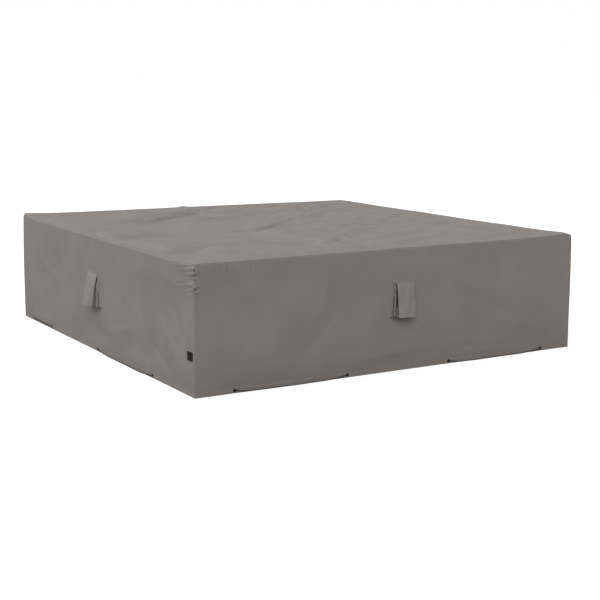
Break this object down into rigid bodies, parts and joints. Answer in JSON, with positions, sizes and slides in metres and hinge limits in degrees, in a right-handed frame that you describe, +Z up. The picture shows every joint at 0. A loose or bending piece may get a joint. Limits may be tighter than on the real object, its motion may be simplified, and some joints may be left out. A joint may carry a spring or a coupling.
{
  "type": "spa cover",
  "caption": "Square fabric weather cover for a hot tub with hooded air vents, a hem with eyelets and a laced drawcord.",
  "frame": {"origin": "on the floor, in the middle of the square that the hem makes", "axes": "+Z up; -Y out of the front side, whose right-hand neighbour faces +X"},
  "size_m": [2.4934, 2.7095, 0.65],
  "materials": {
    "cover_cloth": "matte",
    "seam_tape": "satin",
    "stiffener_sheet": "matte",
    "mesh_cloth": "matte",
    "eyelet_metal": "satin",
    "cord_braid": "matte",
    "lock_plastic": "satin",
    "spring_steel": "satin",
    "label_cloth": "matte"
  },
  "bodies": {
    "cover": {"back_eyelet_washers": "eyelet_metal", "back_eyelets": "eyelet_metal", "back_hem": "cover_cloth", "back_left_corner_tape": "seam_tape", "back_panel": "cover_cloth", "back_right_corner_tape": "seam_tape", "back_top_tape": "seam_tape", "back_vent_left_gusset": "cover_cloth", "back_vent_mesh": "mesh_cloth", "back_vent_right_gusset": "cover_cloth", "drawcord": "cord_braid", "drawcord_tail_left": "cord_braid", "drawcord_tail_right": "cord_braid", "front_eyelet_washers": "eyelet_metal", "front_eyelets": "eyelet_metal", "front_hem": "cover_cloth", "front_left_corner_tape": "seam_tape", "front_panel": "cover_cloth", "front_right_corner_tape": "seam_tape", "front_top_tape": "seam_tape", "front_vent_left_gusset": "cover_cloth", "front_vent_mesh": "mesh_cloth", "front_vent_right_gusset": "cover_cloth", "left_eyelet_washers": "eyelet_metal", "left_eyelets": "eyelet_metal", "left_hem": "cover_cloth", "left_panel": "cover_cloth", "left_top_tape": "seam_tape", "left_vent_left_gusset": "cover_cloth", "left_vent_mesh": "mesh_cloth", "left_vent_right_gusset": "cover_cloth", "right_eyelet_washers": "eyelet_metal", "right_eyelets": "eyelet_metal", "right_hem": "cover_cloth", "right_panel": "cover_cloth", "right_top_tape": "seam_tape", "right_vent_left_gusset": "cover_cloth", "right_vent_mesh": "mesh_cloth", "right_vent_right_gusset": "cover_cloth", "top_panel": "cover_cloth"},
    "front_vent": {"front_vent_hood": "cover_cloth", "front_vent_stiffener": "stiffener_sheet"},
    "right_vent": {"right_vent_hood": "cover_cloth", "right_vent_stiffener": "stiffener_sheet"},
    "back_vent": {"back_vent_hood": "cover_cloth", "back_vent_stiffener": "stiffener_sheet"},
    "left_vent": {"left_vent_hood": "cover_cloth", "left_vent_stiffener": "stiffener_sheet"},
    "label_tag": {"label": "label_cloth"},
    "cord_lock": {"cord_lock_body": "lock_plastic", "cord_lock_spring": "spring_steel"},
    "lock_plunger": {"cord_lock_plunger": "lock_plastic"}
  },
  "joints": [
    {"name": "front_vent_hinge", "type": "hinge", "parent": "cover", "child": "front_vent", "pos_m": [0.019, -1.2013, 0.468], "axis": [-1, 0, 0], "range_deg": [-11.5, 0], "stiffness_Nm_per_rad": 0.3, "springref_deg": 4.58, "deforming": ["front_vent_left_gusset", "front_vent_right_gusset"]},
    {"name": "right_vent_hinge", "type": "hinge", "parent": "cover", "child": "right_vent", "pos_m": [1.2013, 0, 0.468], "axis": [0, -1, 0], "range_deg": [-11.5, 0], "stiffness_Nm_per_rad": 0.3, "springref_deg": 4.58, "deforming": ["right_vent_left_gusset", "right_vent_right_gusset"]},
    {"name": "back_vent_hinge", "type": "hinge", "parent": "cover", "child": "back_vent", "pos_m": [0, 1.2013, 0.468], "axis": [1, 0, 0], "range_deg": [-11.5, 0], "stiffness_Nm_per_rad": 0.3, "springref_deg": 4.58, "deforming": ["back_vent_left_gusset", "back_vent_right_gusset"]},
    {"name": "left_vent_hinge", "type": "hinge", "parent": "cover", "child": "left_vent", "pos_m": [-1.2013, 0.054, 0.436], "axis": [0, 1, 0], "range_deg": [-11.5, 0], "stiffness_Nm_per_rad": 0.3, "springref_deg": 4.58, "deforming": ["left_vent_left_gusset", "left_vent_right_gusset"]},
    {"name": "label_hinge", "type": "hinge", "parent": "cover", "child": "label_tag", "pos_m": [-1.20085, -1.181, 0.1985], "axis": [0, 0, 1], "range_deg": [0, 110]},
    {"name": "cord_lock_slide", "type": "slide", "parent": "cover", "child": "cord_lock", "axis": [0, 1, 0], "range_m": [0, 0.04]},
    {"name": "plunger_press", "type": "slide", "parent": "cord_lock", "child": "lock_plunger", "axis": [1, 0, 0], "range_m": [0, 0.004], "stiffness_N_per_m": 800, "springref_m": -0.002, "deforming": ["cord_lock_spring"]}
  ]
}
